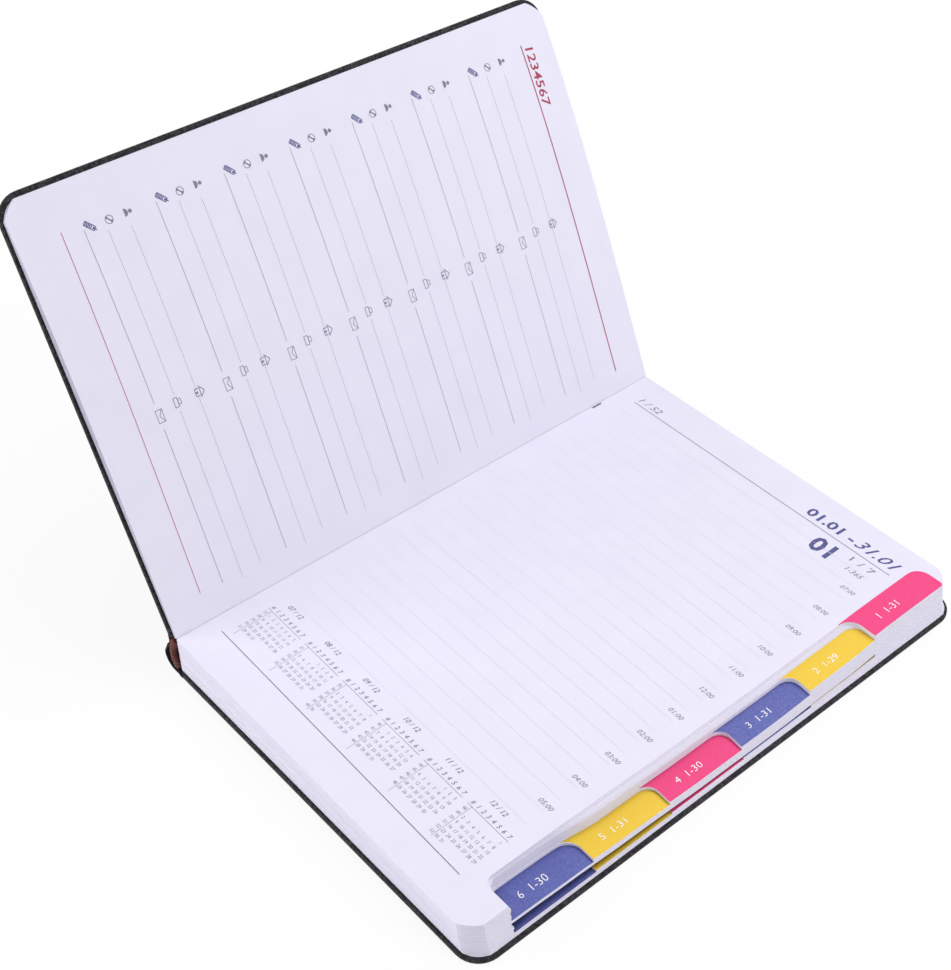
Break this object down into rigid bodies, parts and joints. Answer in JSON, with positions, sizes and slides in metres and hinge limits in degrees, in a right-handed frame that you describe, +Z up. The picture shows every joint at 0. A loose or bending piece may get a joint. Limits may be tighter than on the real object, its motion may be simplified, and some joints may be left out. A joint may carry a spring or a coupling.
{
  "type": "daily planner",
  "caption": "Case-bound daily planner lying open on its back cover, with step-cut month tabs down the fore-edge, black leatherette covers, a hollow spine and ribbed spine bands.",
  "frame": {"origin": "centre of the back cover's underside, where the planner lies on a table", "axes": "+X from the spine to the fore-edge of the back cover, +Y from the tail to the head of the pages, +Z up out of the table"},
  "size_m": [0.2093, 0.207, 0.1425],
  "materials": {
    "leatherette": "fine-grained black leatherette",
    "greyboard": "raw binder's board",
    "endpaper": "smooth white endpaper",
    "paper": "uncoated white writing paper",
    "gauze": "starched cotton gauze",
    "band_cloth": "ribbed maroon cloth"
  },
  "bodies": {
    "back_case": {"back_cover_skin": "leatherette", "back_board": "greyboard", "back_lining": "endpaper", "back_flyleaf": "endpaper", "back_leaves": "paper", "spine_mull": "gauze", "head_band": "band_cloth", "tail_band": "band_cloth"},
    "front_cover": {"front_cover_skin": "leatherette", "front_board": "greyboard", "front_lining": "endpaper", "front_flyleaf": "endpaper"},
    "front_leaves": {"front_leaves": "paper"},
    "spine": {"spine_strip": "leatherette", "spine_liner": "greyboard"},
    "month_12": {"month_12": "paper"},
    "month_11": {"month_11": "paper"},
    "month_10": {"month_10": "paper"},
    "month_09": {"month_09": "paper"},
    "month_08": {"month_08": "paper"},
    "month_07": {"month_07": "paper"},
    "month_06": {"month_06": "paper"},
    "month_05": {"month_05": "paper"},
    "month_04": {"month_04": "paper"},
    "month_03": {"month_03": "paper"},
    "month_02": {"month_02": "paper"},
    "month_01": {"month_01": "paper"}
  },
  "joints": [
    {"name": "front_cover_hinge", "type": "hinge", "parent": "back_case", "child": "front_cover", "pos_m": [-0.0716, 0, 0.01578], "axis": [0, -1, 0], "range_deg": [-117.7, 63.3], "deforming": ["head_band", "tail_band"]},
    {"name": "front_leaves_turn", "type": "hinge", "parent": "front_cover", "child": "front_leaves", "pos_m": [-0.0716, 0, 0.01578], "axis": [0, 1, 0], "range_deg": [0, 80]},
    {"name": "spine_hinge", "type": "hinge", "parent": "back_case", "child": "spine", "pos_m": [-0.0713, 0, 0.0004], "axis": [0, -1, 0], "range_deg": [-4.8, 2.6]},
    {"name": "month_12_turn", "type": "hinge", "parent": "back_case", "child": "month_12", "pos_m": [-0.0716, 0, 0.01578], "axis": [0, -1, 0], "range_deg": [0, 6]},
    {"name": "month_11_turn", "type": "hinge", "parent": "month_12", "child": "month_11", "pos_m": [-0.0716, 0, 0.01578], "axis": [0, -1, 0], "range_deg": [0, 6]},
    {"name": "month_10_turn", "type": "hinge", "parent": "month_11", "child": "month_10", "pos_m": [-0.0716, 0, 0.01578], "axis": [0, -1, 0], "range_deg": [0, 6]},
    {"name": "month_09_turn", "type": "hinge", "parent": "month_10", "child": "month_09", "pos_m": [-0.0716, 0, 0.01578], "axis": [0, -1, 0], "range_deg": [0, 6]},
    {"name": "month_08_turn", "type": "hinge", "parent": "month_09", "child": "month_08", "pos_m": [-0.0716, 0, 0.01578], "axis": [0, -1, 0], "range_deg": [0, 6]},
    {"name": "month_07_turn", "type": "hinge", "parent": "month_08", "child": "month_07", "pos_m": [-0.0716, 0, 0.01578], "axis": [0, -1, 0], "range_deg": [0, 6]},
    {"name": "month_06_turn", "type": "hinge", "parent": "month_07", "child": "month_06", "pos_m": [-0.0716, 0, 0.01578], "axis": [0, -1, 0], "range_deg": [0, 6]},
    {"name": "month_05_turn", "type": "hinge", "parent": "month_06", "child": "month_05", "pos_m": [-0.0716, 0, 0.01578], "axis": [0, -1, 0], "range_deg": [0, 6]},
    {"name": "month_04_turn", "type": "hinge", "parent": "month_05", "child": "month_04", "pos_m": [-0.0716, 0, 0.01578], "axis": [0, -1, 0], "range_deg": [0, 6]},
    {"name": "month_03_turn", "type": "hinge", "parent": "month_04", "child": "month_03", "pos_m": [-0.0716, 0, 0.01578], "axis": [0, -1, 0], "range_deg": [0, 6]},
    {"name": "month_02_turn", "type": "hinge", "parent": "month_03", "child": "month_02", "pos_m": [-0.0716, 0, 0.01578], "axis": [0, -1, 0], "range_deg": [0, 6]},
    {"name": "month_01_turn", "type": "hinge", "parent": "month_02", "child": "month_01", "pos_m": [-0.0716, 0, 0.01578], "axis": [0, -1, 0], "range_deg": [0, 30]}
  ],
  "couplings": [
    {"joint": "spine_hinge", "follows": "front_cover_hinge", "ratio": 0.04}
  ]
}
